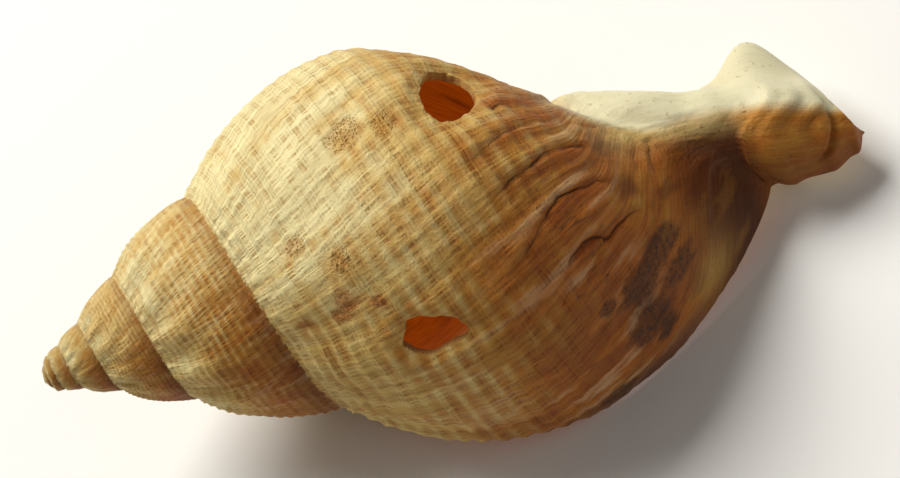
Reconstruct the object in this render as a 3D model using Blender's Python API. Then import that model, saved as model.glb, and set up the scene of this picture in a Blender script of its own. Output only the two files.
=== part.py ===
"""Common whelk shell, worn by the sea: one hollow coiled shell with two holes through its last whorl.

The shell coils to the right. It is worked out in its own coordinates first: "along" runs down the
coiling axis from the apex, "turn" counts whorls back from the outer lip, and "out" is the distance
from the axis. The shell is then laid on its mouth side, with the apex towards -X and the lip at -Y.
"""

import math

import bmesh
import bpy
from mathutils import Matrix, Vector

MM = 0.001

# Driving dimensions, in millimetres.
LENGTH = 85.0              # apex to the tip of the siphonal canal
SUTURE_ALONG = 26.8        # where the suture meets the lip, measured from the apex
SUTURE_OUT = 14.3
BELLY_ALONG = 48.5         # widest place of the last whorl
BELLY_OUT = 23.9
NECK_ALONG = 74.3          # where the last whorl has drawn in to the canal
NECK_OUT = 6.0
NECK_FADE = 7.0            # past the neck only the canal goes on
SPIRE_SPREAD = 3.2         # early whorls are stouter for their size than the last one
BELLY_SPREAD = 7.0
BELLY_SINK = 5.5           # early whorls are widest lower down, for their size
NECK_SINK = 16.0
SHOULDER_CURVE = 2.2       # powers that shape the wall above and below the belly
BASE_CURVE = 0.82
BASE_CURVE_SPREAD = 0.9
BASE_SINK = 23.8           # inside the next whorl, a whorl's base reaches this much further down
BASE_SINK_REACH = 28.0
WHORL_RATIO = 0.5          # each whorl is this much of the one after it
TURNS = 3.9
WALL = 1.5
LIP_WALL = 0.9
CALLUS = 0.35
LEAST_ROOM = 1.0           # the hollow ends where it would be narrower than this
CAVITY_TURNS = 2.25
SPIRE_BEND = 1.1           # the worn apex leans towards the lip and is blunt
SPIRE_BEND_LENGTH = 22.0
APEX_OUT = 1.5
APEX_LENGTH = 3.2
PLANE_OVERRUN = 0.045      # how far the hollow's cutter runs out through the mouth, in turns

# The canal: a tube round a line that bends towards the lip, and its open channel.
CANAL_START = 52.0
CANAL_BEND = 6.0
CANAL_RADII = (
    (40.0, 2.4), (60.0, 3.0), (68.0, 3.8), (72.0, 4.6), (76.5, 5.7), (80.5, 5.0), (83.6, 3.3), (85.0, 1.2),
)
CHANNEL_RADIUS = 2.9
CHANNEL_START = 64.0
CHANNEL_ANGLE = math.radians(318.0)
CHANNEL_OFFSET = 2.8
FASCIOLE_HEIGHT = 4.2      # ridge that old canal ends left, wound round the neck
FASCIOLE_ALONG = 79.0
FASCIOLE_LEAN = 40.0
FASCIOLE_WIDTH = 7.5
FASCIOLE_TURN = 0.52
FASCIOLE_TURNS = 0.15
BLADE_ANGLE = math.radians(196.0)
BLADE_WIDTH = math.radians(13.0)
BLADE_HEIGHT = 4.0
BLADE_ALONG = 77.6
BLADE_LENGTH = 4.4
BLADE_END = 82.5
END_SLANT = 1.9            # the canal's end is cut on a slant
END_SLANT_ANGLE = math.radians(25.0)

# The two worn holes: place along the axis, turn, and half sizes along and across.
HOLES = ((47.5, 0.357, 2.8, 4.2), (37.5, 0.168, 3.2, 2.2))

# How the shell lies: rolled about its axis, then pitched so that it rests on the ground.
REST_ROLL = math.radians(30.3)
REST_PITCH = math.radians(10.0)

COLUMNS = 36               # mesh steps in one turn
SPIRE_ROWS = 7
BASE_ROWS = 15
CAVITY_ROWS = 9


def smoothstep(value):
    value = min(max(value, 0.0), 1.0)
    return value * value * (3.0 - 2.0 * value)


def along_table(table, place):
    """Smooth interpolation in a short table of (place, value) pairs."""
    if place <= table[0][0]:
        return table[0][1]
    for (start, first), (end, second) in zip(table, table[1:]):
        if place <= end:
            return first + (second - first) * smoothstep((place - start) / (end - start))
    return table[-1][1]


def smooth_max(first, second, width):
    gap = max(width - abs(first - second), 0.0) / width
    return max(first, second) + gap * gap * width / 4.0


def suture(turn):
    """(along, out) of the suture above the whorl at this turn."""
    size = WHORL_RATIO**turn
    return SUTURE_ALONG * size, (SUTURE_OUT + SPIRE_SPREAD * smoothstep(turn / 1.5)) * size


def whorl(turn, along):
    """Distance out from the axis of the whorl's own surface, without the canal."""
    size = WHORL_RATIO**turn
    aged = 1.0 - math.exp(-turn)
    top, top_out = suture(turn)
    hidden = smoothstep((turn - 0.6) / 0.4)
    beyond = max(along - SUTURE_ALONG * size / WHORL_RATIO, 0.0) / (BASE_SINK_REACH * size)
    along -= hidden * BASE_SINK * size * (1.0 - math.exp(-beyond))
    belly = (BELLY_ALONG + BELLY_SINK * (1.0 - math.exp(-2.0 * turn))) * size
    belly_out = (BELLY_OUT + BELLY_SPREAD * aged) * size
    neck = (NECK_ALONG + NECK_SINK * aged) * size
    neck_out = NECK_OUT * size
    if along < belly:
        rise = 1.0 - (1.0 - max(along - top, 0.0) / (belly - top)) ** SHOULDER_CURVE
        return top_out + (belly_out - top_out) * rise
    if along > neck and turn <= 1.0:
        return neck_out * max(1.0 - (along - neck) / NECK_FADE, 0.0)
    fall = min((along - belly) / (neck - belly), 1.0)
    curve = BASE_CURVE + BASE_CURVE_SPREAD * aged * (1.0 - hidden)
    return neck_out + (belly_out - neck_out) * math.cos(fall * math.pi / 2) ** curve


def seam_step(turn):
    """What the whorl's surface needs at its lower seam to meet the next suture."""
    place = max(turn, 1.0)
    along, out = suture(place - 1.0)
    return (out - whorl(place, along)) * smoothstep(turn) * WHORL_RATIO ** (turn - place)


def tube(turn, along):
    """The canal and columella round their own line."""
    angle = math.tau * turn
    radius = along_table(CANAL_RADII, along)
    fasciole = FASCIOLE_ALONG - FASCIOLE_LEAN * turn
    ridge = math.exp(-(((along - fasciole) / FASCIOLE_WIDTH) ** 2))
    radius += FASCIOLE_HEIGHT * ridge * math.exp(-(((turn - FASCIOLE_TURN) / FASCIOLE_TURNS) ** 2))
    blade = math.exp(-(((angle - BLADE_ANGLE) / BLADE_WIDTH) ** 2))
    length = smoothstep((BLADE_END - along) / (BLADE_END - BLADE_ALONG))
    if along < BLADE_ALONG:
        length = math.exp(-(((along - BLADE_ALONG) / BLADE_LENGTH) ** 2))
    return radius + BLADE_HEIGHT * blade * length


def outside(turn, along):
    """Distance out of the shell's surface at this turn and this place along."""
    top = suture(turn)[0]
    seam = SUTURE_ALONG * WHORL_RATIO ** (turn - 1.0)
    reach = max(along - top, 0.0) / (seam - top)
    fade = reach**1.5 if reach < 1.0 else max(1.0 - (reach - 1.0), 0.0)
    own = whorl(turn, along) + seam_step(turn) * fade
    return smooth_max(own, tube(turn, along), 1.5) if turn <= 1.0 and along > 40.0 else own


def middle_line(along):
    """How far the shell's middle has bent away from the axis, towards the lip, at its two ends."""
    canal = max(along - CANAL_START, 0.0) / (LENGTH - CANAL_START)
    apex = max(SPIRE_BEND_LENGTH - along, 0.0) / SPIRE_BEND_LENGTH
    return CANAL_BEND * canal**2 + SPIRE_BEND * apex**2


def place(turn, along, out):
    """Millimetre point in the shell's own axes: X along, -Y at the lip, Z a quarter turn back."""
    angle = math.tau * turn
    blunt = APEX_OUT * math.exp(-along / APEX_LENGTH)
    out = out + blunt * min(out / APEX_OUT, 1.0)
    return Vector((along, -math.cos(angle) * out - middle_line(along), math.sin(angle) * out))


def canal_end(turn):
    """The canal ends on a slant: its lip side reaches furthest."""
    return LENGTH - END_SLANT * (1.0 - math.cos(math.tau * turn - END_SLANT_ANGLE))


def whorl_column(turn):
    """Points of one section of the outside, from the upper suture to the lower one or to the canal."""
    top = suture(turn)[0]
    seam = SUTURE_ALONG * WHORL_RATIO ** (turn - 1.0)
    rows = [top + (seam - top) * row / SPIRE_ROWS for row in range(SPIRE_ROWS + 1)]
    points = [place(turn, along, outside(turn, along)) for along in rows]
    points[0] = place(turn, *suture(turn))
    if turn >= 1.0:
        points[-1] = place(turn - 1.0, *suture(turn - 1.0))
    if turn > 1.0:
        return points
    end = canal_end(turn)
    for row in range(1, BASE_ROWS + 1):
        along = seam + (end - seam) * row / BASE_ROWS
        points.append(place(turn, along, outside(turn, along)))
    return points


def loft(mesh, first, second):
    """Faces between two rows of vertices, one vertex of each at a time."""
    for (low, high), (low_next, high_next) in zip(zip(first, second), zip(first[1:], second[1:])):
        corners = []
        for corner in (low, high, high_next, low_next):
            if corner not in corners:
                corners.append(corner)
        if len(corners) > 2 and mesh.faces.get(corners) is None:
            mesh.faces.new(corners)


def fan(mesh, rim, tip):
    for start, end in zip(rim, rim[1:]):
        if start != end:
            mesh.faces.new((start, end, tip))


def finished(mesh, name, collection):
    """A bmesh in millimetres, closed up and turned outwards, as an object in metres."""
    bmesh.ops.remove_doubles(mesh, verts=mesh.verts, dist=0.02)
    bmesh.ops.triangulate(mesh, faces=mesh.faces)
    bmesh.ops.recalc_face_normals(mesh, faces=mesh.faces)
    bmesh.ops.scale(mesh, vec=(MM, MM, MM), verts=mesh.verts)
    data = bpy.data.meshes.new(name)
    mesh.to_mesh(data)
    mesh.free()
    obj = bpy.data.objects.new(name, data)
    collection.objects.link(obj)
    return obj


def build_outside(collection):
    mesh = bmesh.new()
    count = round(TURNS * COLUMNS)
    columns = []
    for step in range(count + 1):
        points = whorl_column(step / COLUMNS)
        columns.append([mesh.verts.new(point) for point in points])
        if step > COLUMNS:
            columns[step][SPIRE_ROWS] = columns[step - COLUMNS][0]
    columns[COLUMNS][SPIRE_ROWS] = columns[0][0]
    for first, second in zip(columns, columns[1:]):
        loft(mesh, first[: len(second)], second)
    # The mouth, a flat face between the lip and the columella, and the two ends.
    loft(mesh, columns[0], [columns[0][0]] * SPIRE_ROWS + columns[COLUMNS][SPIRE_ROWS:])
    apex = mesh.verts.new(place(0.0, 0.0, 0.0))
    first_turn = [column[0] for column in columns[count - COLUMNS :]]
    fan(mesh, columns[count - COLUMNS][0:1] + first_turn + columns[count][1:], apex)
    rim = [column[-1] for column in columns[: COLUMNS + 1]]
    middle = sum((vertex.co for vertex in rim), Vector()) / len(rim)
    tip = mesh.verts.new(middle + Vector((0.4, 0.0, 0.0)))
    fan(mesh, rim + rim[:1], tip)
    bmesh.ops.delete(mesh, geom=[v for v in mesh.verts if not v.link_faces], context="VERTS")
    return finished(mesh, "whelk_shell", collection)


def hollow_section(turn):
    """Closed section of the hollow: down the inside of the wall and back up the whorl inside it."""
    wall = LIP_WALL + (WALL - LIP_WALL) * smoothstep(turn / 0.25)
    wall *= min(1.0, 1.25 * WHORL_RATIO ** (0.6 * max(turn, 0.0)))
    face = max(turn, 0.0)

    def room(along):
        return outside(face, along) - wall - outside(face + 1.0, along) - CALLUS

    top = suture(face)[0]
    span = (80.0 * WHORL_RATIO**face) - top
    steps = [top + span * step / 200 for step in range(201)]
    free = [along for along in steps if room(along) > LEAST_ROOM * WHORL_RATIO ** (0.5 * face)]
    low, high = free[0], free[-1]
    rows = [low + (high - low) * (1.0 - math.cos(math.pi * row / CAVITY_ROWS)) / 2 for row in range(CAVITY_ROWS + 1)]
    down = [place(turn, along, outside(face, along) - wall) for along in rows]
    back = [place(turn, along, outside(face + 1.0, along) + CALLUS) for along in reversed(rows)]
    return down + back


def build_hollow(collection):
    mesh = bmesh.new()
    steps = round((CAVITY_TURNS + PLANE_OVERRUN) * COLUMNS)
    rings = []
    for step in range(steps + 1):
        turn = CAVITY_TURNS - (CAVITY_TURNS + PLANE_OVERRUN) * step / steps
        ring = [mesh.verts.new(point) for point in hollow_section(turn)]
        rings.append(ring + ring[:1])
    for first, second in zip(rings, rings[1:]):
        loft(mesh, first, second)
    for ring in (rings[0], rings[-1]):
        middle = sum((vertex.co for vertex in ring[:-1]), Vector()) / (len(ring) - 1)
        fan(mesh, ring, mesh.verts.new(middle))
    return finished(mesh, "cut_hollow", collection)


def build_channel(collection):
    """Bent round bar that opens the canal along its mouth side."""
    mesh = bmesh.new()
    rings = []
    for step in range(15):
        along = CHANNEL_START + (LENGTH + 4.0 - CHANNEL_START) * step / 14
        radius = CHANNEL_RADIUS * (0.6 + 0.4 * smoothstep((along - CHANNEL_START) / 14.0))
        centre = place(CHANNEL_ANGLE / math.tau, along, CHANNEL_OFFSET)
        ring = []
        for side in range(14):
            angle = math.tau * side / 14
            ring.append(mesh.verts.new(centre + Vector((0.0, math.cos(angle), math.sin(angle))) * radius))
        rings.append(ring + ring[:1])
    for first, second in zip(rings, rings[1:]):
        loft(mesh, first, second)
    for ring in (rings[0], rings[-1]):
        middle = sum((vertex.co for vertex in ring[:-1]), Vector()) / (len(ring) - 1)
        fan(mesh, ring, mesh.verts.new(middle))
    return finished(mesh, "cut_channel", collection)


def build_hole(collection, number, along, turn, half_along, half_across):
    """Uneven plug that stands square to the wall and goes through it."""
    middle = place(turn, along, outside(turn, along))
    down = place(turn, along + 1.0, outside(turn, along + 1.0)) - middle
    across = place(turn + 0.01, along, outside(turn + 0.01, along)) - middle
    normal = across.cross(down).normalized()
    if normal.dot(place(turn, along, 1.0) - place(turn, along, 0.0)) < 0.0:
        normal.negate()
    down.normalize()
    across = normal.cross(down)
    mesh = bmesh.new()
    rings = []
    for height in (-3.2, 4.0):
        ring = []
        for side in range(18):
            angle = math.tau * side / 18
            bite = 1.0 + 0.10 * math.sin(3.0 * angle + number) + 0.06 * math.sin(5.0 * angle + 2.0 * number)
            flat = down * math.cos(angle) * half_along * bite + across * math.sin(angle) * half_across * bite
            ring.append(mesh.verts.new(middle + flat + normal * height))
        rings.append(ring + ring[:1])
        fan(mesh, rings[-1], mesh.verts.new(middle + normal * height))
    loft(mesh, rings[0], rings[1])
    return finished(mesh, f"cut_hole_{number}", collection)


def shell_material():
    material = bpy.data.materials.new("worn_shell")
    material.use_nodes = True
    surface = material.node_tree.nodes["Principled BSDF"]
    surface.inputs["Base Color"].default_value = (0.62, 0.43, 0.22, 1.0)
    surface.inputs["Roughness"].default_value = 0.62
    surface.inputs["Metallic"].default_value = 0.0
    return material


def add_cut(body, cutter, solver="EXACT"):
    cutter.hide_render = True
    cutter.display_type = "WIRE"
    cut = body.modifiers.new(cutter.name, "BOOLEAN")
    cut.operation = "DIFFERENCE"
    cut.solver = solver
    cut.object = cutter


def lie_down(objects):
    """Rolls and pitches everything into the resting pose, then sets the lowest point on the ground."""
    turned = Matrix.Rotation(REST_PITCH, 3, "Y") @ Matrix.Rotation(REST_ROLL, 3, "X")
    for obj in objects:
        for vertex in obj.data.vertices:
            vertex.co = turned @ vertex.co
    bpy.context.view_layer.update()
    cut_shell = objects[0].evaluated_get(bpy.context.evaluated_depsgraph_get()).data.vertices
    low = [min(vertex.co[axis] for vertex in cut_shell) for axis in range(3)]
    high = [max(vertex.co[axis] for vertex in cut_shell) for axis in range(3)]
    shift = Vector(((low[0] + high[0]) / 2, (low[1] + high[1]) / 2, low[2]))
    for obj in objects:
        for vertex in obj.data.vertices:
            vertex.co -= shift


def main():
    for obj in list(bpy.data.objects):
        bpy.data.objects.remove(obj, do_unlink=True)
    parts = bpy.data.collections.new("whelk_shell")
    cutters = bpy.data.collections.new("cutters")
    for collection in (parts, cutters):
        bpy.context.scene.collection.children.link(collection)
    body = build_outside(parts)
    body.data.materials.append(shell_material())
    tools = [build_hollow(cutters), build_channel(cutters)]
    tools += [build_hole(cutters, number, *hole) for number, hole in enumerate(HOLES, start=1)]
    # The exact solver loses the body at the hollow's long coil, so that one cut uses the other solver.
    add_cut(body, tools[0], "MANIFOLD")
    for tool in tools[1:]:
        add_cut(body, tool)
    lie_down([body] + tools)
    body.data.shade_smooth()
    body.data.set_sharp_from_angle(angle=math.radians(50.0))


main()
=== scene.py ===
"""Sea-worn common whelk shell, lying on its mouth side.

The shell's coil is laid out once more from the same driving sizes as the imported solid, on a far
finer grid, and carved with spiral cords, growth lines, folds, creases and worn places. The hollow,
the canal's channel and the two worn holes are then cut through it, and it is coloured.
"""

import logging
import math
from dataclasses import dataclass
from enum import Enum

import bpy
import numpy as np
from mathutils import Matrix, Vector


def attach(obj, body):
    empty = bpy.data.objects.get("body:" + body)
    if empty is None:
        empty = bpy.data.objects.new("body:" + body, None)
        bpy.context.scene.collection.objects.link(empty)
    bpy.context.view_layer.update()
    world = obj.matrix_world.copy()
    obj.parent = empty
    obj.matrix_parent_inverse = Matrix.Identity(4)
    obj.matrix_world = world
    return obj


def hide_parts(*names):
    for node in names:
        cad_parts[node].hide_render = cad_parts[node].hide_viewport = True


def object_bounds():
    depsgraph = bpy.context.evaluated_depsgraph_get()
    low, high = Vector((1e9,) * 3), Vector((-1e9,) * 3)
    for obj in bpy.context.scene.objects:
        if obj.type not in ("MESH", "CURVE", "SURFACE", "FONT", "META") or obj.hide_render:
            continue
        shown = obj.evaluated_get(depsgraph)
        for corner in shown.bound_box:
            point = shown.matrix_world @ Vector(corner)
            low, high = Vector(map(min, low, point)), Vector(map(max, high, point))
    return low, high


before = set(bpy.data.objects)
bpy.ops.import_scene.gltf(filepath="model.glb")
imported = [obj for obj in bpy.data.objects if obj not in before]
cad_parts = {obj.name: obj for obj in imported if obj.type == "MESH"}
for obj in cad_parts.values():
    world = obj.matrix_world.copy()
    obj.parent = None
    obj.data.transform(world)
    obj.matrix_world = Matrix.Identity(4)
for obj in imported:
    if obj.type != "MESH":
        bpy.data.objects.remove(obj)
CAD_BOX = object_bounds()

MM = 0.001
LOG = logging.getLogger("whelk")
Field = np.ndarray
# Round the last whorl in millimetres, which turns a step back from the lip into a length.
GIRTH = 132.0
# Odd factors that scatter the random height of each noise cell.
SCATTER_ACROSS, SCATTER_DOWN, SCATTER_SEED, SCATTER_SPREAD = 127.1, 311.7, 74.7, 43758.5453
# Points closer than this are welded, in metres: on the outside, and on the finer cutters.
OUTSIDE_WELD, CUTTER_WELD = 2e-6, 2e-7
# A cut leaves its new points plain white, above this level.
PLAIN_WHITE = 0.95
# Edges sharper than this stay sharp.
SHARP_EDGE = math.radians(50.0)


def smoothstep(value: Field, low: float = 0.0, high: float = 1.0) -> Field:
    """Rises smoothly from 0 at low to 1 at high."""
    part = np.clip((np.asarray(value, float) - low) / (high - low), 0.0, 1.0)
    return part * part * (3.0 - 2.0 * part)


def fall(value: Field, low: float, high: float) -> Field:
    """Falls smoothly from 1 at low to 0 at high."""
    return 1.0 - smoothstep(value, low, high)


def hump(value: Field, centre: float, width: float) -> Field:
    """A soft bump of height 1."""
    return np.exp(-(((value - centre) / width) ** 2))


def patchy(across: Field, down: Field, seed: float) -> Field:
    """Smooth patchy noise from -1 to 1 over two coordinates.

    Args:
        across: First coordinate, one cell per unit.
        down: Second coordinate, one cell per unit.
        seed: Picks another pattern.

    Returns:
        The noise at each place.
    """
    column, row = np.floor(across), np.floor(down)
    part_across = smoothstep(across - column)
    part_down = smoothstep(down - row)

    def corner(step_across: int, step_down: int) -> Field:
        """The random height of one corner of each cell."""
        mixed = (column + step_across) * SCATTER_ACROSS + (row + step_down) * SCATTER_DOWN
        mixed = np.sin(mixed + seed * SCATTER_SEED) * SCATTER_SPREAD
        return (mixed - np.floor(mixed)) * 2.0 - 1.0

    near = corner(0, 0) * (1.0 - part_across) + corner(1, 0) * part_across
    far = corner(0, 1) * (1.0 - part_across) + corner(1, 1) * part_across
    return near * (1.0 - part_down) + far * part_down


def cloudy(across: Field, down: Field, seed: float) -> Field:
    """Patchy noise in three sizes."""
    total = patchy(across, down, seed) + 0.5 * patchy(across * 2.03, down * 2.03, seed + 3.1)
    return (total + 0.25 * patchy(across * 4.1, down * 4.1, seed + 7.7)) / 1.5


@dataclass(frozen=True)
class Coil:
    """The shell's coil, in millimetres: along its axis from the apex, and turns back from the lip."""

    length: float = 85.0
    suture_along: float = 26.8
    suture_out: float = 14.3
    belly_along: float = 48.5
    belly_out: float = 23.9
    neck_along: float = 74.3
    neck_out: float = 6.0
    neck_fade: float = 7.0
    spire_spread: float = 3.2
    belly_spread: float = 7.0
    belly_sink: float = 5.5
    neck_sink: float = 16.0
    shoulder_curve: float = 2.2
    base_curve: float = 0.82
    base_curve_spread: float = 0.9
    base_sink: float = 23.8
    base_sink_reach: float = 28.0
    hidden_from: float = 0.6
    whorl_ratio: float = 0.5
    wall: float = 1.5
    lip_wall: float = 0.8
    callus: float = 0.35
    least_room: float = 1.0
    cavity_turns: float = 2.25
    spire_bend: float = 1.1
    spire_bend_length: float = 22.0
    apex_out: float = 1.5
    apex_length: float = 3.2
    apex_fill: float = 0.7
    apex_reach: float = 0.8
    tube_from: float = 40.0
    tube_blend: float = 1.5
    seam_power: float = 1.5
    canal_start: float = 52.0
    canal_bend: float = 6.0
    canal_places: tuple[float, ...] = (40.0, 60.0, 68.0, 72.0, 76.5, 80.5, 83.6, 85.0)
    canal_radii: tuple[float, ...] = (2.4, 3.0, 3.8, 4.6, 5.7, 5.0, 3.3, 1.2)
    fasciole_height: float = 4.2
    fasciole_along: float = 79.0
    fasciole_lean: float = 40.0
    fasciole_width: float = 7.5
    fasciole_turn: float = 0.52
    fasciole_turns: float = 0.15
    blade_angle: float = math.radians(196.0)
    blade_width: float = math.radians(13.0)
    blade_height: float = 4.0
    blade_along: float = 77.6
    blade_length: float = 4.4
    blade_end: float = 82.5
    end_slant: float = 1.9
    end_slant_angle: float = math.radians(25.0)
    rest_roll: float = math.radians(30.3)
    rest_pitch: float = math.radians(10.0)

    def size(self, turn: Field) -> Field:
        """How large the whorl is, where the lip is 1."""
        return self.whorl_ratio ** np.asarray(turn, float)

    def suture(self, turn: Field) -> tuple[Field, Field]:
        """Where the seam above the whorl lies, along and out."""
        out = self.suture_out + self.spire_spread * smoothstep(turn, 0.0, 1.5)
        return self.suture_along * self.size(turn), out * self.size(turn)

    def whorl(self, turn: Field, along: Field) -> Field:
        """Distance out of the whorl's own surface, without the canal.

        Args:
            turn: Turns back from the lip.
            along: Millimetres along the axis from the apex.

        Returns:
            Millimetres out from the middle line.
        """
        size = self.size(turn)
        aged = 1.0 - np.exp(-turn)
        top, top_out = self.suture(turn)
        hidden = smoothstep(turn, self.hidden_from, 1.0)
        seam = self.suture_along * size / self.whorl_ratio
        beyond = np.clip(along - seam, 0.0, None) / (self.base_sink_reach * size)
        along = along - hidden * self.base_sink * size * (1.0 - np.exp(-beyond))
        belly = (self.belly_along + self.belly_sink * (1.0 - np.exp(-2.0 * turn))) * size
        belly_out = (self.belly_out + self.belly_spread * aged) * size
        neck = (self.neck_along + self.neck_sink * aged) * size
        neck_out = self.neck_out * size
        rise = 1.0 - (1.0 - np.clip((along - top) / (belly - top), 0.0, 1.0)) ** self.shoulder_curve
        fall = np.clip((along - belly) / (neck - belly), 0.0, 1.0)
        curve = self.base_curve + self.base_curve_spread * aged * (1.0 - hidden)
        drop = np.clip(np.cos(fall * math.pi / 2), 0.0, 1.0) ** curve
        upper = top_out + (belly_out - top_out) * rise
        lower = neck_out + (belly_out - neck_out) * drop
        past = neck_out * np.clip(1.0 - (along - neck) / self.neck_fade, 0.0, 1.0)
        out = np.where(along < belly, upper, lower)
        return np.where((along > neck) & (turn <= 1.0), past, out)

    def seam_step(self, turn: Field) -> Field:
        """What the whorl's surface needs at its lower seam to meet the next suture.

        Args:
            turn: Turns back from the lip.

        Returns:
            Millimetres to add at the seam.
        """
        place = np.maximum(turn, 1.0)
        along, out = self.suture(place - 1.0)
        return (out - self.whorl(place, along)) * smoothstep(turn) * self.whorl_ratio ** (turn - place)

    def tube(self, turn: Field, along: Field) -> Field:
        """The canal and columella round their own line.

        Args:
            turn: Turns back from the lip.
            along: Millimetres along the axis from the apex.

        Returns:
            Millimetres out from the middle line.
        """
        radius = np.full(np.shape(along), self.canal_radii[0])
        for index in range(len(self.canal_places) - 1):
            start, end = self.canal_places[index], self.canal_places[index + 1]
            step = self.canal_radii[index + 1] - self.canal_radii[index]
            radius = radius + smoothstep(along, start, end) * step
        fasciole = self.fasciole_along - self.fasciole_lean * turn
        ridge = hump(along, fasciole, self.fasciole_width)
        ridge = ridge * hump(turn, self.fasciole_turn, self.fasciole_turns)
        edge = hump(math.tau * turn, self.blade_angle, self.blade_width)
        rising = hump(along, self.blade_along, self.blade_length)
        falling = smoothstep(self.blade_end - along, 0.0, self.blade_end - self.blade_along)
        edge = edge * np.where(along < self.blade_along, rising, falling)
        return radius + self.fasciole_height * ridge + self.blade_height * edge

    def outside(self, turn: Field, along: Field) -> Field:
        """Distance out of the shell's surface.

        Args:
            turn: Turns back from the lip.
            along: Millimetres along the axis from the apex.

        Returns:
            Millimetres out from the middle line.
        """
        top = self.suture(turn)[0]
        seam = self.suture_along * self.whorl_ratio ** (turn - 1.0)
        reach = np.clip((along - top) / (seam - top), 0.0, None)
        fade = np.where(reach < 1.0, reach**self.seam_power, np.clip(2.0 - reach, 0.0, 1.0))
        own = self.whorl(turn, along) + self.seam_step(turn) * fade
        tube = self.tube(turn, along)
        gap = np.clip(self.tube_blend - np.abs(own - tube), 0.0, None) / self.tube_blend
        joined = np.maximum(own, tube) + gap * gap * self.tube_blend / 4.0
        return np.where((turn <= 1.0) & (along > self.tube_from), joined, own)

    def middle_line(self, along: Field) -> Field:
        """How far the shell's middle has bent towards the lip, at its two ends.

        Args:
            along: Millimetres along the axis from the apex.

        Returns:
            Millimetres towards the lip.
        """
        canal = np.clip(along - self.canal_start, 0.0, None) / (self.length - self.canal_start)
        apex = np.clip(self.spire_bend_length - along, 0.0, None) / self.spire_bend_length
        return self.canal_bend * canal**2 + self.spire_bend * apex**2

    def place(self, turn: Field, along: Field, out: Field) -> Field:
        """Points in the shell's own axes: X along, -Y at the lip, Z a quarter turn back.

        Args:
            turn: Turns back from the lip.
            along: Millimetres along the axis from the apex.
            out: Millimetres out from the middle line.

        Returns:
            The points, in millimetres.
        """
        angle = math.tau * np.asarray(turn, float)
        blunt = self.apex_out * np.exp(-along / self.apex_length)
        wide = out + blunt * np.clip(out / self.apex_fill, None, 1.0)
        along = along - self.apex_reach * np.exp(-along / self.apex_length)
        sideways = -np.cos(angle) * wide - self.middle_line(along)
        return np.stack([along + 0.0 * wide, sideways, np.sin(angle) * wide], axis=-1)

    def canal_end(self, turn: Field) -> Field:
        """The canal ends on a slant: its lip side reaches furthest."""
        return self.length - self.end_slant * (1.0 - np.cos(math.tau * turn - self.end_slant_angle))

    def normal(self, turn: Field, along: Field) -> Field:
        """Outward direction of the surface.

        Args:
            turn: Turns back from the lip.
            along: Millimetres along the axis from the apex.

        Returns:
            Unit vectors.
        """
        step_turn, step_along = 0.002, 0.05
        back = self.outside(np.maximum(turn, step_turn) - step_turn, along)
        back = self.place(turn - step_turn, along, back)
        ahead = self.place(turn + step_turn, along, self.outside(turn + step_turn, along))
        up = self.place(turn, along - step_along, self.outside(turn, along - step_along))
        down = self.place(turn, along + step_along, self.outside(turn, along + step_along))
        across = np.cross(down - up, ahead - back)
        middle = self.place(turn, along, self.outside(turn, along))
        middle = middle - self.place(turn, along, 0.0 * along)
        facing = np.sign(np.sum(across * middle, axis=-1, keepdims=True))
        return across * facing / (np.linalg.norm(across, axis=-1, keepdims=True) + 1e-12)

    def rest(self) -> Matrix:
        """The turn that lays the shell down."""
        return Matrix.Rotation(self.rest_pitch, 3, "Y") @ Matrix.Rotation(self.rest_roll, 3, "X")


@dataclass(frozen=True)
class WornHole:
    """A hole worn through the last whorl."""

    along: float
    turn: float
    half_along: float
    half_across: float
    lean: float
    uneven: float
    seed: float

    def reach(self, turn: Field, along: Field, coil: Coil) -> Field:
        """Distance from the hole's middle.

        Args:
            turn: Turns back from the lip.
            along: Millimetres along the axis from the apex.
            coil: The shell's coil.

        Returns:
            The distance, where 1 is the hole's rim.
        """
        radius = float(coil.outside(np.array(self.turn), np.array(self.along)))
        across = (turn - self.turn) * math.tau * radius
        off = along - self.along
        straight = (off * math.cos(self.lean) + across * math.sin(self.lean)) / self.half_along
        square = (across * math.cos(self.lean) - off * math.sin(self.lean)) / self.half_across
        return np.hypot(square, straight) / self.bite(np.arctan2(square, straight))

    def bite(self, angle: Field) -> Field:
        """How far the uneven rim lies from a plain oval.

        Args:
            angle: Where on the rim, in radians.

        Returns:
            The rim's reach, where 1 is the oval.
        """
        slow = np.sin(3.0 * angle + self.seed) + 0.6 * np.sin(5.0 * angle + 2.0 * self.seed)
        chipped = 0.018 * np.sin(11.0 * angle + self.seed) + 0.012 * np.sin(19.0 * angle)
        return 1.0 + self.uneven * slow + chipped

    def rim(self, angle: Field) -> tuple[Field, Field]:
        """The outline of the rim.

        Args:
            angle: Where on the rim, in radians.

        Returns:
            Millimetres along the axis and across it, from the hole's middle.
        """
        straight = np.cos(angle) * self.half_along * self.bite(angle)
        square = np.sin(angle) * self.half_across * self.bite(angle)
        cosine, sine = math.cos(self.lean), math.sin(self.lean)
        return straight * cosine - square * sine, straight * sine + square * cosine


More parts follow.
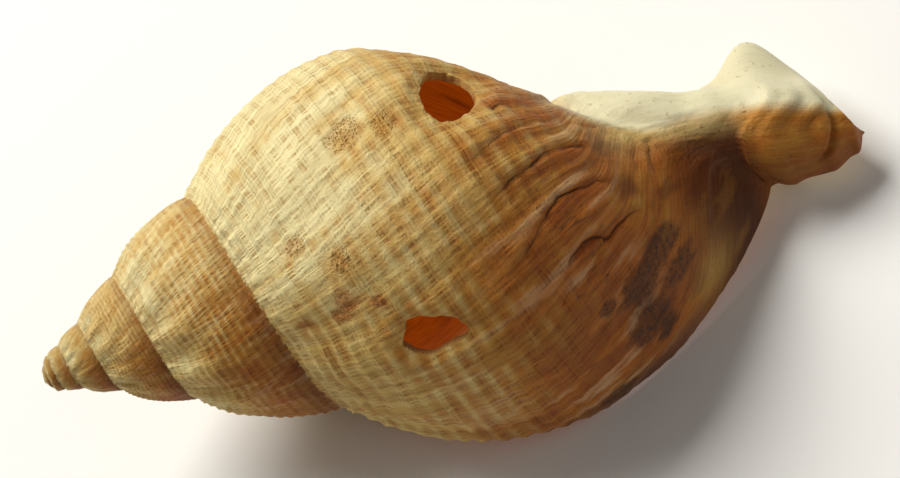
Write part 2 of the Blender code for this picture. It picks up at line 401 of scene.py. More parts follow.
@dataclass(frozen=True)
class Crease:
    """A split or fold that follows the growth lines: places along and turns, with its depth."""

    points: tuple[tuple[float, float], ...]
    depth: float
    width: float

    def measure(self, turn: Field, along: Field) -> tuple[Field, Field]:
        """How near each place lies to the crease.

        Args:
            turn: Turns back from the lip.
            along: Millimetres along the axis.

        Returns:
            Millimetres off the crease, negative on one side, and how strong the crease is there.
        """
        wobble = 0.30 * patchy(along * 0.9, turn * 80.0, self.depth * 10.0)
        nearest = np.full(np.shape(along), 1e3)
        signed = np.full(np.shape(along), 1e3)
        strength = np.zeros(np.shape(along))
        pieces = len(self.points) - 1
        for index in range(pieces):
            (along_a, turn_a), (along_b, turn_b) = self.points[index], self.points[index + 1]
            step = np.array([along_b - along_a, (turn_b - turn_a) * GIRTH])
            off_along = along + wobble - along_a
            off_turn = (turn - turn_a) * GIRTH + wobble
            part = np.clip((off_along * step[0] + off_turn * step[1]) / (step @ step), 0.0, 1.0)
            gap = np.hypot(off_along - part * step[0], off_turn - part * step[1])
            cross = off_along * step[1] - off_turn * step[0]
            closer = gap < nearest
            nearest = np.where(closer, gap, nearest)
            signed = np.where(closer, gap * np.sign(cross), signed)
            travel = (index + part) / pieces
            taper = smoothstep(travel, 0.0, 0.18) * fall(travel, 0.72, 1.0)
            uneven = 0.75 + 0.35 * patchy(travel * 6.0, 0.0 * travel, self.width * 30.0)
            strength = np.where(closer, self.depth * taper * uneven, strength)
        return signed, strength


HOLES = (
    WornHole(47.4, 0.357, 2.8, 4.4, -0.43, 0.02, 1.0),
    WornHole(37.6, 0.168, 3.2, 2.1, 0.0, 0.10, 2.0),
)
CREASES = (
    Crease(((58.4, 0.262), (57.0, 0.275), (53.9, 0.272), (51.2, 0.259), (49.5, 0.255),
            (46.2, 0.240)), 0.75, 0.32),
    Crease(((60.2, 0.218), (57.5, 0.229), (53.5, 0.229), (51.5, 0.218), (48.8, 0.202),
            (46.4, 0.190)), 0.60, 0.40),
    Crease(((61.6, 0.173), (59.2, 0.182), (57.0, 0.178), (54.2, 0.185), (52.6, 0.182),
            (51.6, 0.168)), 0.60, 0.30),
    Crease(((56.2, 0.178), (54.4, 0.166), (51.2, 0.160), (48.6, 0.142)), 0.30, 0.60),
    Crease(((50.3, 0.327), (51.8, 0.339), (53.2, 0.334)), 0.70, 0.35),
    Crease(((55.2, 0.299), (52.9, 0.303), (50.5, 0.297), (47.6, 0.283), (45.0, 0.272)), 0.45, 0.28),
    Crease(((56.9, 0.309), (58.9, 0.302), (60.4, 0.315)), 0.40, 0.25),
    Crease(((64.4, 0.290), (64.0, 0.240), (63.4, 0.190)), 0.35, 0.30),
    Crease(((62.9, 0.285), (62.4, 0.240), (61.4, 0.205)), 0.30, 0.30),
    Crease(((31.5, 0.262), (30.4, 0.240), (29.6, 0.222)), 0.20, 0.22),
)


@dataclass(frozen=True)
class Patch:
    """A round patch of pitting or stain on the surface."""

    along: float
    turn: float
    radius: float

    def mask(self, turn: Field, along: Field) -> Field:
        """1 in the patch, 0 away from it, with an uneven edge."""
        off = np.hypot(along - self.along, (turn - self.turn) * GIRTH) / self.radius
        return 1.0 - smoothstep(off + 0.35 * cloudy(along * 0.9, turn * 110.0, self.radius), 0.65, 1.15)


PITTED = (Patch(36.5, 0.336, 2.0), Patch(40.3, 0.331, 1.4), Patch(31.9, 0.242, 1.3), Patch(28.2, 0.270, 1.2))
RUSTY = (Patch(31.2, 0.212, 1.3), Patch(30.2, 0.200, 1.0), Patch(26.4, 0.195, 0.9), Patch(34.0, 0.205, 0.9))
STAINED = (
    Patch(61.4, 0.132, 2.5), Patch(62.3, 0.100, 2.2), Patch(58.2, 0.121, 2.6), Patch(57.8, 0.085, 2.5),
    Patch(54.4, 0.127, 0.9), Patch(52.9, 0.025, 2.2), Patch(59.5, 0.062, 1.6),
)


class Tone(Enum):
    """Colours of the weathered shell, as seen."""

    CREAM = (233, 220, 166)
    SAND = (218, 188, 118)
    TAN = (196, 148, 70)
    RUST = (182, 104, 26)
    UMBER = (122, 72, 26)
    BARK = (66, 36, 18)
    CHALK = (230, 226, 199)
    MAUVE = (158, 118, 98)
    HONEY = (206, 150, 70)
    AMBER = (186, 92, 10)

    def linear(self) -> Field:
        """The colour in linear light."""
        part = np.array(self.value) / 255.0
        return np.where(part <= 0.04045, part / 12.92, ((part + 0.055) / 1.055) ** 2.4)


def tinted(colour: Field, tone: Tone, amount: Field) -> Field:
    """Mixes a tone over colours by an amount for each point."""
    return colour + (tone.linear() - colour) * np.clip(amount, 0.0, 1.0)[:, None]


@dataclass
class Skin:
    """Where each vertex of the outside lies on the coil.

    Across runs from 0 at the upper suture to 1 at the lower one, and on to 2 at the canal's end.
    Cord counts the spiral cords from the upper suture.
    """

    turn: Field
    along: Field
    across: Field
    cord: Field

    def growth(self, coil: Coil) -> Field:
        """Which growth line each vertex lies on.

        Args:
            coil: The shell's coil.

        Returns:
            The line's place, in turns back from the lip.
        """
        neck = (coil.neck_along + coil.neck_sink * (1.0 - np.exp(-self.turn))) * coil.size(self.turn)
        top = coil.suture(self.turn)[0]
        reach = np.clip((self.along - top) / (neck - top), 0.0, 1.2)
        swept = self.turn + 0.10 * np.clip(1.0 - reach, 0.0, 1.0) ** 1.3
        return swept - 0.11 * smoothstep(reach, 0.80, 1.05)

    def seam_fade(self) -> Field:
        """Keeps the carving off the sutures and the mouth's canal end, so that the edges still meet.

        Returns:
            0 exactly on those edges and 1 away from them.
        """
        old = np.where(self.turn >= 1.0, 1.0, smoothstep(self.turn, 0.9, 1.0))
        upper = smoothstep(self.across, 0.0, 0.035)
        off_lower = np.abs(self.across - 1.0)
        lower = 1.0 - fall(off_lower, 0.0, 0.03) * old
        off_lip = np.minimum(self.turn, 1.0 - self.turn)
        mouth = smoothstep(self.along, 68.0, 72.0) * fall(off_lip, 0.0, 0.04)
        return upper * lower * (1.0 - np.where(self.turn <= 1.0, mouth, 0.0))


@dataclass(frozen=True)
class Relief:
    """Heights of the carving, in millimetres."""

    cord: float = 0.23
    fine_cord: float = 0.07
    fine_growth: float = 0.055
    growth: float = 0.07
    slow_growth: float = 0.11
    halt: float = 0.35
    fold: float = 0.30
    knob: float = 0.09
    canal_edge: float = 0.60
    canal_valley: float = 0.35
    canal_ring: float = 0.12
    canal_grain: float = 0.07
    groove: float = 0.75
    thin_rim: float = 0.55
    broad_wear: float = 0.22
    grain: float = 0.03
    pit: float = 0.22
    crease_step: float = 0.55
    crease_cut: float = 0.45
    deepest_at_lip: float = 0.28
    deeper_behind_lip: float = 0.45
    deeper_below: float = 0.3


class Sculptor:
    """Carves the outside: heights in millimetres and colours."""

    def __init__(self, coil: Coil, skin: Skin) -> None:
        """Works out what several carvings share.

        Args:
            coil: The shell's coil.
            skin: Where each vertex lies on it.
        """
        self.coil = coil
        self.skin = skin
        self.relief = Relief()
        self.line = skin.growth(coil)
        self.scale = coil.size(skin.turn) ** 0.6
        self.last = skin.turn < 1.0
        self.neck = smoothstep(skin.along / (coil.neck_along - 22.0 * skin.turn), 0.90, 1.0)
        self.canal = smoothstep(skin.along, 69.0, 73.0) * (skin.turn <= 1.0)
        self.angle = np.degrees(math.tau * skin.turn)
        # Painted shade: 1 on the side that faces down in the view, away from the key light, falling to 0 on
        # the top.
        self.shaded_side = 0.5 + 0.5 * np.cos(math.tau * (skin.turn - 0.03))
        self.crease_off = np.full(len(skin.turn), 9.0)
        self.crease_strength = np.zeros(len(skin.turn))
        for crease in CREASES:
            off, strength = crease.measure(skin.turn, skin.along)
            closer = np.abs(off) < np.abs(self.crease_off)
            self.crease_off = np.where(closer, off, self.crease_off)
            self.crease_strength = np.where(closer, strength, self.crease_strength)
        self.crease_strength = self.crease_strength * hump(self.crease_off, 0.0, 1.6)
        self.pitted = self.patches(PITTED)
        self.rusty = self.patches(RUSTY)
        self.stained = self.patches(STAINED)
        near = [hole.reach(skin.turn, skin.along, coil) for hole in HOLES]
        self.hole = np.minimum(*near)

    def patches(self, group: tuple[Patch, ...]) -> Field:
        """The strongest of a group of patches at each vertex."""
        return np.max([patch.mask(self.skin.turn, self.skin.along) for patch in group], axis=0)

    def creases(self) -> Field:
        """A raised lip on one side of each crease, with a thin cut along it."""
        cut = hump(self.crease_off, 0.0, 0.40)
        past = np.clip(self.crease_off, 0.0, None)
        step = past * np.exp(-past / 0.9) * 1.6
        return self.crease_strength * (self.relief.crease_step * step - self.relief.crease_cut * cut)

    def cords(self) -> Field:
        """Spiral cords: main ones with finer ones between, uneven and in places worn flat.

        Returns:
            Their height at each vertex.
        """
        cord, turn = self.skin.cord, self.skin.turn
        wander = cord + 0.18 * patchy(turn * 5.0, cord * 0.5, 5.0)
        main = (0.5 + 0.5 * np.cos(math.tau * wander)) ** 1.6
        fine = 0.5 + 0.5 * np.cos(math.tau * wander * 3.0)
        strength = 0.75 + 0.45 * patchy(turn * 7.0, cord * 0.45, 2.0)
        belly = 0.25 + 0.75 * self.cord_strength()
        height = (self.relief.cord * main + self.relief.fine_cord * fine) * strength * self.scale
        return height * belly * (1.0 - self.neck) * (1.0 - self.canal)

    def growth_lines(self) -> Field:
        """Fine growth lines across the cords, with a few stronger halts.

        Returns:
            Their height at each vertex.
        """
        cord, line, relief = self.skin.cord, self.line, self.relief
        fine = patchy(line * 210.0, cord * 0.35, 11.0)
        middle = patchy(line * 84.0, cord * 0.12, 12.0)
        slow = patchy(line * 34.0, cord * 0.05, 13.0)
        halt = np.clip(patchy(line * 26.0, cord * 0.03, 14.0) - 0.45, 0.0, 1.0)
        lively = 1.0 + 0.8 * smoothstep(self.skin.along, 44.0, 54.0) * self.last
        lively = lively - 1.60 * smoothstep(self.skin.along, 55.0, 64.0) * self.last
        height = relief.fine_growth * fine + relief.growth * middle
        height = height + relief.slow_growth * slow + relief.halt * halt
        return height * self.scale * lively * (1.0 - self.canal)

    def folds(self) -> Field:
        """Low axial folds on the shoulder and small knobs along the suture.

        Returns:
            Their height at each vertex.
        """
        line, across = self.line, self.skin.across
        drift = 0.25 * patchy(line * 9.0, across * 0.0, 21.0)
        wide = np.sin(math.tau * (line * 13.0 + drift)) * hump(across, 0.30, 0.24)
        knob = np.sin(math.tau * (line * 46.0 + 2.0 * drift)) * hump(across, 0.075, 0.055)
        aged = 0.6 + 0.8 * smoothstep(self.skin.turn, 0.1, 1.2)
        return (self.relief.fold * wide * aged + self.relief.knob * knob) * self.scale

    def canal_rings(self) -> Field:
        """Old ends of the canal: a stepped edge, rings and a groove before the smooth tip.

        Returns:
            Their height at each vertex.
        """
        along, angle, relief = self.skin.along, self.angle, self.relief
        step = 72.7 + 3.6 * smoothstep(angle, 80.0, 125.0) + 1.3 * fall(angle, 0.0, 50.0)
        shown = smoothstep(angle, 2.0, 18.0) * fall(angle, 122.0, 150.0)
        past = along - step
        edge = relief.canal_edge * smoothstep(past, -0.25, 0.35) * fall(past, 1.5, 7.0)
        valley = -relief.canal_valley * hump(past, -1.6, 1.5) * smoothstep(angle, 25.0, 60.0)
        rings = relief.canal_ring * np.cos(math.tau * past / 2.7)
        rings = rings * smoothstep(past, 0.6, 1.6) * fall(past, 7.0, 9.0)
        fine = relief.canal_grain * patchy(past * 2.6, angle * 0.02, 31.0)
        groove_at = 82.4 - ((angle - 105.0) / 50.0) ** 2 * 1.7
        groove = -relief.groove * hump(along, groove_at, 0.42) * smoothstep(angle, 35.0, 60.0)
        return (edge + valley + rings + fine * (past > 0.0) + groove) * shown

    def wear(self) -> Field:
        """Hollows that the sea has worn: round the holes, in pitted patches and all over.

        Returns:
            Their height at each vertex, mostly below nought.
        """
        skin, relief = self.skin, self.relief
        grain = cloudy(skin.along * 1.6, skin.turn * 210.0, 41.0)
        cells = np.abs(patchy(skin.along * 2.6, skin.turn * 340.0, 42.0))
        thin = -relief.thin_rim * fall(self.hole, 0.9, 1.55)
        broad = relief.broad_wear * cloudy(skin.along * 0.16, skin.turn * 20.0, 43.0)
        worn = np.maximum(self.pitted, 0.6 * self.rusty)
        pits = -relief.pit * fall(cells, 0.05, 0.35) * worn
        return thin + pits + (relief.grain * grain + broad) * (1.0 - 0.8 * self.canal) * self.scale

    def height(self) -> Field:
        """All the carving together, kept from cutting through the thin wall.

        Returns:
            Millimetres out from the smooth surface.
        """
        skin, relief = self.skin, self.relief
        worn = 1.0 - 0.75 * fall(self.hole, 1.0, 1.5)
        fine = (self.cords() + self.growth_lines()) * worn + self.folds()
        total = fine + self.canal_rings() + self.wear() + self.creases()
        deepest = relief.deepest_at_lip + relief.deeper_behind_lip * smoothstep(skin.turn, 0.05, 0.25)
        deepest = deepest + relief.deeper_below * (skin.turn > 0.5)
        steep = smoothstep(skin.along, 58.0, 65.0) * (skin.turn < 0.35) * (skin.along < 74.0)
        total = np.maximum(total, -deepest * (1.0 - 0.75 * steep))
        return total * skin.seam_fade()

    def layers(self) -> tuple[tuple[Tone, Field], ...]:
        """The washes of colour over the cream shell, from the first to the last.

        Returns:
            Each wash's tone and how much of it each vertex takes.
        """
        skin, line, shaded_side = self.skin, self.line, self.shaded_side
        turn, along, across, cord = skin.turn, skin.along, skin.across, skin.cord
        body = self.last.astype(float)
        blotch = cloudy(along * 0.22 + 4.0, turn * 24.0, 51.0)
        streak = patchy(line * 70.0, cord * 0.10, 52.0) + 0.6 * patchy(line * 190.0, cord * 0.25, 53.0)
        band = patchy(turn * 3.0, cord * 0.9, 54.0)
        warm = 0.06 + 0.80 * smoothstep(along, 28.0, 57.0) * body
        # Painted shade: the last whorl and the spire both turn browner on the side that faces down, away
        # from the key light.
        warm = warm + 0.45 * smoothstep(shaded_side, 0.35, 1.0) * body
        spire = 0.25 + 0.85 * smoothstep(across, 0.15, 0.85) * (0.35 + 0.65 * smoothstep(shaded_side, 0.2, 0.9))
        warm = warm * body + spire * (1.0 - body)
        warm = warm + 0.16 * blotch + 0.16 * streak + 0.12 * band
        # Grooves between cords hold the dirt, and their crests are bleached.
        crest = np.cos(math.tau * cord) * (1.0 - self.neck) * (1.0 - self.canal)
        knot = np.clip(0.6 + 0.8 * patchy(line * 120.0, cord * 0.9, 55.0), 0.0, 1.4)
        dirt = np.clip(-crest, 0.0, 1.0) * knot * smoothstep(warm, 0.05, 0.5)
        bleach = np.clip(crest, 0.0, 1.0) * knot * fall(warm, 0.7, 1.2)
        # Umber towards each older whorl's lower suture; the part that grows stronger on the side facing down
        # is painted shade.
        seam = smoothstep(across, 0.72, 1.0) * (1.0 - body) * (0.4 + 0.6 * shaded_side)
        return (
            (Tone.SAND, smoothstep(warm, 0.05, 0.45)),
            (Tone.TAN, smoothstep(warm, 0.40, 0.85)),
            (Tone.RUST, 0.55 * smoothstep(warm + 0.25 * blotch, 0.85, 1.35)),
            (Tone.RUST, 0.30 * dirt),
            (Tone.CREAM, 0.45 * bleach),
            (Tone.RUST, 0.35 * np.clip(streak - 0.55, 0.0, 1.0) * smoothstep(along, 40.0, 55.0)),
            (Tone.UMBER, 0.6 * seam),
            (Tone.CREAM, 0.45 * hump(across, 0.09, 0.06) * (along < 50.0)),
            (Tone.RUST, 0.6 * self.rusty),
            (Tone.TAN, 0.5 * self.pitted),
            *self.neck_layers(),
            (Tone.RUST, 0.9 * self.crease_strength * hump(self.crease_off, -0.6, 1.2)),
            (Tone.CREAM, 0.22 * self.crease_strength * hump(self.crease_off, 1.2, 0.7)),
            (Tone.SAND, 0.5 * fall(self.hole, 1.0, 1.12)),
        )

    def neck_layers(self) -> tuple[tuple[Tone, Field], ...]:
        """Dark neck, stains, pale crest over the canal and the mauve margin of the lip.

        Returns:
            Each wash's tone and how much of it each vertex takes.
        """
        turn, along, angle = self.skin.turn, self.skin.along, self.angle
        body = self.last.astype(float)
        dark = smoothstep(along, 62.5, 68.0) * fall(angle, 95.0, 122.0) * body
        haze = cloudy(along * 0.30, turn * 34.0, 63.0) * smoothstep(along, 54.0, 60.0) * body
        before_canal = fall(along, 70.0, 72.0)
        ring = smoothstep(along, 72.3, 73.5) * body
        margin = fall(turn, 0.018, 0.045) * smoothstep(along, 46.0, 54.0)
        fray = 6.0 * patchy(along * 0.35, turn * 0.0, 62.0)
        glow = hump(angle, 106.0, 16.0) * smoothstep(along, 57.0, 62.0)
        glow = glow * fall(along, 70.0, 76.0) * body
        blade = hump(angle, 196.0, 22.0) * smoothstep(along, 66.0, 69.0)
        blade = blade * fall(along, 74.0, 78.0)
        return (
            (Tone.UMBER, 0.85 * dark * fall(along, 72.0, 74.5)),
            (Tone.BARK, 0.45 * hump(along, 70.6, 2.6) * dark),
            (Tone.UMBER, 0.55 * smoothstep(haze, 0.05, 0.6) * before_canal),
            (Tone.TAN, 0.30 * smoothstep(-haze, 0.10, 0.6) * before_canal),
            (Tone.TAN, 0.55 * ring * smoothstep(angle, 60.0, 110.0)),
            (Tone.UMBER, 0.45 * ring * fall(angle, 30.0, 80.0)),
            (Tone.BARK, 0.45 * self.stained),
            (Tone.MAUVE, 0.7 * margin * fall(along, 62.0, 66.0)),
            (Tone.SAND, 0.6 * hump(along, 66.0, 2.5) * hump(turn, 0.045, 0.035)),
            (Tone.CREAM, 0.55 * glow),
            (Tone.CHALK, 0.97 * self.bare(fray)),
            (Tone.HONEY, 0.06 * blade),
        )

    def bare(self, fray: Field | float = 0.0) -> Field:
        """Where the crest over the canal has lost its skin.

        Args:
            fray: Degrees by which the bare crest's edge wanders.

        Returns:
            1 on the bare crest and 0 away from it.
        """
        along = self.skin.along
        reach = self.angle + fray + 10.0 * smoothstep(along, 60.0, 66.0)
        return smoothstep(reach, 112.0, 132.0) * smoothstep(along, 53.0, 60.0) * self.last

    def colours(self) -> Field:
        """Linear colour of each vertex, deepened where the shell has aged and, as painted shade, on the side
        that faces down.
        """
        colour = np.tile(Tone.CREAM.linear(), (len(self.line), 1))
        for tone, amount in self.layers():
            colour = tinted(colour, tone, amount)
        return colour ** (1.0 + 0.35 * self.aged())[:, None]

    def aged(self) -> Field:
        """How deep and brown the colour is made: most near the lip and least on the shoulder, and deeper on
        the side that faces down, which is painted shade.
        """
        body = smoothstep(self.skin.along, 34.0, 56.0) * self.last
        # Painted shade: the side that faces down, away from the key light, is deepened as well.
        return np.maximum(body, 0.8 * smoothstep(self.shaded_side, 0.4, 1.0))

    def cord_strength(self) -> Field:
        """How clearly the spiral cords show: they fade towards the lip's lower part and the canal."""
        fading = 1.0 - 0.85 * smoothstep(self.skin.along - 18.0 * self.skin.turn, 44.0, 54.0) * self.last
        return fading * (1.0 - self.neck) * (1.0 - self.canal)

    def stripes(self) -> Field:
        """How strongly the growth lines show as stripes of colour: less on the shoulder and the neck."""
        body = 0.35 + 0.65 * smoothstep(self.skin.along - 40.0 * self.skin.turn, 32.0, 54.0)
        calm = 1.0 - 0.92 * smoothstep(self.skin.along, 54.0, 62.0)
        return np.where(self.last, body * calm, 0.35) * (1.0 - 0.5 * self.canal)

    def masks(self) -> dict[str, Field]:
        """The numbers that the outside finish reads at each vertex."""
        return {
            "bare": self.bare(),
            "pitting": np.maximum(self.pitted, 0.5 * self.rusty),
            "stained": self.stained,
            "stripes": self.stripes(),
            "cords": self.cord_strength(),
            "crease_off": np.clip(self.crease_off, -3.0, 3.0),
            "crease_strength": self.crease_strength,
        }


def points_of(mesh: bpy.types.Mesh) -> Field:
    """The mesh's points, one to a row."""
    flat = np.empty(len(mesh.vertices) * 3)
    mesh.vertices.foreach_get("co", flat)
    return flat.reshape(-1, 3)


class GridPiece:
    """A piece that starts as a flat grid and is laid over a curved form."""

    def __init__(self, name: str, columns: int, rows: int) -> None:
        """Adds the grid.

        Args:
            name: Name of the object.
            columns: Cells along X.
            rows: Cells along Y.
        """
        bpy.ops.object.select_all(action="DESELECT")
        bpy.ops.mesh.primitive_grid_add(x_subdivisions=columns, y_subdivisions=rows, size=2.0)
        self.obj = bpy.context.object
        self.obj.name = name
        self.obj.data.name = name
        flat = points_of(self.obj.data)
        self.column = np.rint((flat[:, 0] + 1.0) / 2.0 * columns)
        self.row = np.rint((flat[:, 1] + 1.0) / 2.0 * rows)

    def lay(self, points: Field) -> None:
        """Moves every vertex to its point, given in millimetres."""
        self.obj.data.vertices.foreach_set("co", (points * MM).ravel())
        self.obj.data.update()

    def paint(self, name: str, values: Field) -> None:
        """Stores a colour or a number for each vertex.

        Args:
            name: Name that the finishes read it by.
            values: One number, or one linear colour, for each vertex.
        """
        kind = "FLOAT_COLOR" if values.ndim == 2 else "FLOAT"
        attribute = self.obj.data.attributes.new(name, kind, "POINT")
        if values.ndim == 2:
            full = np.concatenate([values, np.ones((len(values), 1))], axis=1)
            attribute.data.foreach_set("color", full.ravel())
        else:
            attribute.data.foreach_set("value", values)

    def unwrap(self, across: Field, down: Field) -> None:
        """Sets the UV map.

        Args:
            across: U of each vertex.
            down: V of each vertex.
        """
        mesh = self.obj.data
        corner = np.empty(len(mesh.loops), int)
        mesh.loops.foreach_get("vertex_index", corner)
        pairs = np.stack([across[corner], down[corner]], axis=1)
        mesh.uv_layers[0].data.foreach_set("uv", pairs.ravel())

    def as_cutter(self, colour: Field, bare: float, across: Field, down: Field) -> bpy.types.Object:
        """Colours a rolled-up grid, closes it and caps its ends.

        Args:
            colour: Linear colour of each vertex.
            bare: 1 for a smooth lining, 0 for a broken edge.
            across: U of each vertex.
            down: V of each vertex.

        Returns:
            The closed cutter.
        """
        self.paint("coat", colour)
        self.paint("bare", np.full(len(across), bare))
        self.paint("pitting", np.zeros(len(across)))
        self.unwrap(across, down)
        close_up(self.obj, CUTTER_WELD)
        return self.obj


def pick(*objects: bpy.types.Object) -> None:
    """Selects these objects only and makes the last one active."""
    bpy.ops.object.select_all(action="DESELECT")
    for obj in objects:
        obj.select_set(True)
        bpy.context.view_layer.objects.active = obj


def close_up(obj: bpy.types.Object, weld: float) -> None:
    """Welds a piece's touching edges, fills its open ends and turns its faces outwards.

    Args:
        obj: The piece.
        weld: How close two points have to be, in metres.
    """
    pick(obj)
    bpy.ops.object.mode_set(mode="EDIT")
    bpy.ops.mesh.select_all(action="SELECT")
    bpy.ops.mesh.remove_doubles(threshold=weld)
    bpy.ops.mesh.select_all(action="DESELECT")
    bpy.ops.mesh.select_mode(type="EDGE")
    bpy.ops.mesh.select_non_manifold(
        extend=False, use_multi_face=False, use_non_contiguous=False, use_verts=False
    )
    bpy.ops.mesh.fill_holes(sides=0)
    bpy.ops.mesh.select_all(action="SELECT")
    bpy.ops.mesh.quads_convert_to_tris(quad_method="SHORTEST_DIAGONAL", ngon_method="CLIP")
    bpy.ops.mesh.normals_make_consistent(inside=False)
    bpy.ops.mesh.select_all(action="DESELECT")
    bpy.ops.object.mode_set(mode="OBJECT")


@dataclass
class ShellBuilder:
    """Builds the whole shell as one piece. Shift is how far lie_down has moved it."""

    coil: Coil
    outside_finish: bpy.types.Material
    lining_finish: bpy.types.Material
    columns: int = 240
    body_rows: int = 128
    base_rows: int = 104
    squeeze: float = 0.4
    row_power: float = 1.25
    stages: tuple[tuple[float, float, int, int], ...] = (
        (1.0, 2.5, 1, 2), (2.5, 4.0, 2, 4), (4.0, 7.0, 8, 16)
    )
    cords: int = 15
    base_cords: int = 22
    hollow_steps: int = 80
    hollow_rows: int = 26
    hollow_tries: int = 600
    hollow_overrun: float = 0.045
    channel_columns: int = 60
    channel_rows: int = 28
    channel_start: float = 64.0
    channel_overrun: float = 4.0
    channel_angle: float = math.radians(318.0)
    channel_offset: float = 2.8
    channel_radius: float = 2.9
    plug_columns: int = 6
    plug_rows: int = 72
    plug_foot: float = -2.3
    plug_length: float = 6.3
    shift: tuple[float, ...] = (0.0, 0.0, 0.0)

    def spread(self, turn: Field) -> Field:
        """Crowds the columns of every whorl on its upper side, which keeps the finest carving there."""
        part = np.sin(math.tau * (turn - 0.25)) - math.sin(-math.tau * 0.25)
        return turn - self.squeeze * part / math.tau

    def lay_outside(self, piece: GridPiece, turn: Field, along: Field, across: Field, cord: Field) -> None:
        """Lays a grid on the coil, carves it and colours it.

        Args:
            piece: The grid.
            turn: Turns back from the lip, for each vertex.
            along: Millimetres along the axis.
            across: 0 to 1 between the sutures, and on to 2 at the canal's end.
            cord: Count of spiral cords.
        """
        skin = Skin(turn, along, across, cord)
        sculptor = Sculptor(self.coil, skin)
        out = self.coil.outside(turn, along)
        on_top = across <= 1e-9
        out = np.where(on_top, self.coil.suture(turn)[1], out)
        on_seam = (np.abs(across - 1.0) <= 1e-9) & (turn >= 1.0 - 1e-9)
        out = np.where(on_seam, self.coil.suture(turn - 1.0)[1], out)
        points = self.coil.place(turn, along, out)
        points = points + self.coil.normal(turn, along) * sculptor.height()[:, None]
        piece.lay(points)
        piece.paint("coat", sculptor.colours())
        for name, values in sculptor.masks().items():
            piece.paint(name, values)
        piece.unwrap(skin.growth(self.coil), cord)

    def body(self) -> GridPiece:
        """The last whorl, from the lip back one turn, down to the canal's end.

        Returns:
            The laid and carved grid.
        """
        piece = GridPiece("last_whorl", self.columns, self.body_rows + self.base_rows)
        turn = self.spread(piece.column / self.columns)
        across = piece.row / self.body_rows
        top = self.coil.suture(turn)[0]
        seam = self.coil.suture_along * self.coil.whorl_ratio ** (turn - 1.0)
        below = (piece.row - self.body_rows) / self.base_rows
        upper = top + (seam - top) * np.clip(across, 0.0, 1.0) ** self.row_power
        lower = seam + (self.coil.canal_end(turn) - seam) * np.clip(below, 0.0, 1.0)
        on_base = piece.row > self.body_rows
        along = np.where(on_base, lower, upper)
        cord = np.where(on_base, self.cords + below * self.base_cords, across * self.cords)
        self.lay_outside(piece, turn, along, np.where(on_base, 1.0 + below, across), cord)
        return piece

    def spire(self, start: float, end: float, coarser: int, fewer: int) -> GridPiece:
        """A run of the older whorls.

        Args:
            start: Turn where it starts.
            end: Turn where it ends, nearer the apex.
            coarser: How many columns of the last whorl one of its columns spans.
            fewer: How many rows of the last whorl one of its rows spans.

        Returns:
            The laid and carved grid.
        """
        per_turn = self.columns // coarser
        rows = self.body_rows // fewer
        piece = GridPiece(f"spire_{coarser}", round((end - start) * per_turn), rows)
        turn = self.spread(start + piece.column / per_turn)
        across = piece.row / rows
        top = self.coil.suture(turn)[0]
        seam = self.coil.suture(turn - 1.0)[0]
        along = top + (seam - top) * across**self.row_power
        self.lay_outside(piece, turn, along, across, across * self.cords)
        return piece

    def hollow(self) -> bpy.types.Object:
        """The space inside, a little over two turns long.

        Returns:
            The closed cutter.
        """
        coil = self.coil
        overrun = self.hollow_overrun
        steps = round((coil.cavity_turns + overrun) * self.hollow_steps)
        piece = GridPiece("hollow", steps, 2 * self.hollow_rows + 1)
        turn_of = coil.cavity_turns - (coil.cavity_turns + overrun) * np.arange(steps + 1) / steps
        face_of = np.maximum(turn_of, 0.0)
        wall_of = coil.lip_wall + (coil.wall - coil.lip_wall) * smoothstep(face_of, 0.0, 0.25)
        wall_of = wall_of * np.minimum(1.0, 1.25 * coil.whorl_ratio ** (0.6 * face_of))
        low_of, high_of = np.empty(steps + 1), np.empty(steps + 1)
        for step in range(steps + 1):
            face, wall = face_of[step], wall_of[step]
            top = float(coil.suture(face)[0])
            tries = np.linspace(top, 80.0 * coil.whorl_ratio**face, self.hollow_tries)
            turns = np.full(self.hollow_tries, face)
            room = coil.outside(turns, tries) - wall - coil.outside(turns + 1.0, tries) - coil.callus
            free = tries[room > coil.least_room * coil.whorl_ratio ** (0.5 * face)]
            low_of[step], high_of[step] = free[0], free[-1]
        column = piece.column.astype(int)
        down = piece.row <= self.hollow_rows
        part = np.where(down, piece.row, 2 * self.hollow_rows + 1 - piece.row) / self.hollow_rows
        part = (1.0 - np.cos(math.pi * part)) / 2.0
        along = low_of[column] + (high_of[column] - low_of[column]) * part
        face = face_of[column]
        outer = coil.outside(face, along) - wall_of[column]
        inner = coil.outside(face + 1.0, along) + coil.callus
        swell = 0.10 * patchy(turn_of[column] * 40.0, along * 0.06, 71.0)
        out = np.where(down, outer + swell, inner)
        points = coil.place(turn_of[column], along, out)
        piece.lay(points)
        colour = np.tile(Tone.CHALK.linear(), (len(face), 1))
        colour = tinted(colour, Tone.HONEY, 0.9 * smoothstep(face, 0.0, 0.03))
        colour = tinted(colour, Tone.AMBER, smoothstep(face, 0.01, 0.06))
        spots = cloudy(along * 0.5, turn_of[column] * 40.0, 72.0)
        colour = tinted(colour, Tone.BARK, 0.6 * smoothstep(spots, 0.35, 0.7))
        return piece.as_cutter(colour, 1.0, turn_of[column], along)

    def channel(self) -> bpy.types.Object:
        """Bent bar that opens the canal along its mouth side.

        Returns:
            The closed cutter.
        """
        coil, start = self.coil, self.channel_start
        piece = GridPiece("channel", self.channel_columns, self.channel_rows)
        reach = coil.length + self.channel_overrun - start
        along = start + reach * piece.column / self.channel_columns
        turn = np.full(len(along), self.channel_angle / math.tau)
        centre = coil.place(turn, along, np.full(len(along), self.channel_offset))
        around = math.tau * piece.row / self.channel_rows
        width = self.channel_radius * (0.6 + 0.4 * smoothstep(along, start, start + 14.0))
        centre[:, 1] += np.cos(around) * width
        centre[:, 2] += np.sin(around) * width
        piece.lay(centre)
        colour = np.tile(Tone.CHALK.linear(), (len(along), 1))
        colour = tinted(colour, Tone.HONEY, 0.3 + 0.3 * patchy(along * 0.4, around, 73.0))
        return piece.as_cutter(colour, 1.0, around, along)

